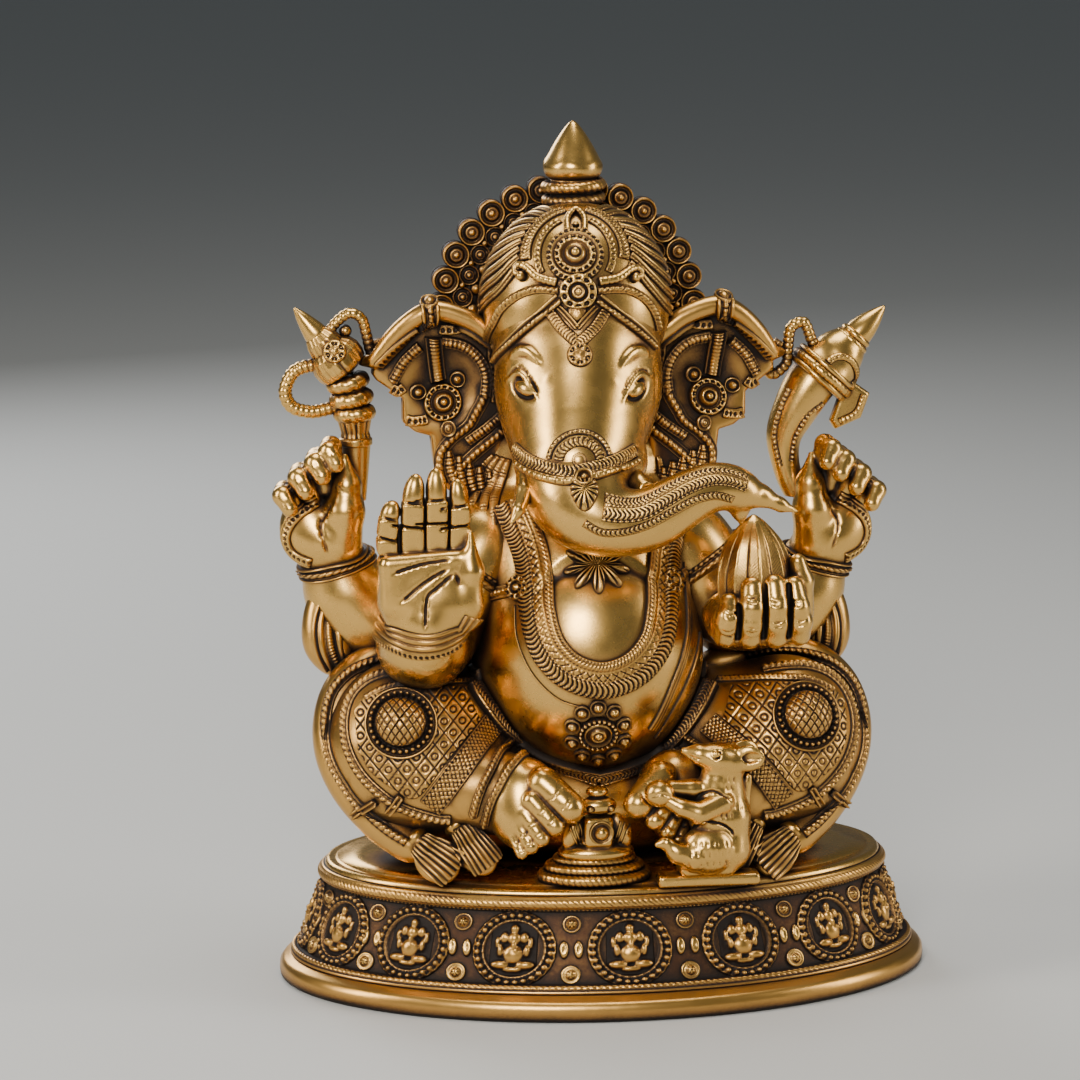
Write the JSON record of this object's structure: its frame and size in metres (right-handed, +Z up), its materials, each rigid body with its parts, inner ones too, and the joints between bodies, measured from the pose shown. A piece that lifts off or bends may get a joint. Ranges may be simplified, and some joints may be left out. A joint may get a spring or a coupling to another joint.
{
  "type": "ganesha idol",
  "caption": "Seated elephant-headed deity figure in cast, chased and antiqued brass on a hollow oval plinth, free standing on a flat rim.",
  "frame": {"origin": "centre of the plinth's footprint, on the surface it stands on", "axes": "+Z up, -Y is the front that the figure faces, +X to the figure's left"},
  "size_m": [0.2, 0.124, 0.26],
  "materials": {
    "polished_brass": "hand-polished satin brass with dark patina left in the cuts",
    "antiqued_brass": "chased brass with red-brown antique patina in the recesses, rubbed bright on the high spots"
  },
  "bodies": {
    "root": {"foot_rim": "antiqued_brass", "plinth_wall": "antiqued_brass", "plinth_medallions": "polished_brass", "plinth_studs": "polished_brass", "deck_moulding": "antiqued_brass", "deck_plate": "polished_brass", "torso": "polished_brass", "waist_belt": "antiqued_brass", "belt_rosette": "polished_brass", "sacred_thread": "antiqued_brass", "long_necklace": "antiqued_brass", "leaf_pendant": "antiqued_brass", "brooches": "polished_brass", "head": "polished_brass", "trunk": "polished_brass", "whole_tusk": "polished_brass", "broken_tusk": "polished_brass", "ear_right": "antiqued_brass", "ear_left": "antiqued_brass", "ear_jewels": "polished_brass", "crown_cap": "polished_brass", "crown_jewels": "polished_brass", "forehead_pendant": "antiqued_brass", "finial": "polished_brass", "finial_collars": "antiqued_brass", "halo_plate": "antiqued_brass", "halo_bosses": "antiqued_brass", "rear_arm_right": "polished_brass", "rear_arm_left": "polished_brass", "front_arm_right": "polished_brass", "front_arm_left": "polished_brass", "bangles": "antiqued_brass", "armlets": "antiqued_brass", "elbow_scarves": "antiqued_brass", "goad": "polished_brass", "horn_axe": "polished_brass", "modak": "polished_brass", "leg_right": "antiqued_brass", "leg_left": "antiqued_brass", "foot_right": "polished_brass", "foot_left": "polished_brass", "knee_discs": "antiqued_brass", "anklets": "antiqued_brass", "shawl_right": "antiqued_brass", "shawl_left": "antiqued_brass", "shawl_tassels": "antiqued_brass", "offering_stand": "polished_brass", "stand_ring": "antiqued_brass", "mouse": "polished_brass", "mouse_plate": "polished_brass", "mouse_sweet": "polished_brass"}
  },
  "joints": []
}
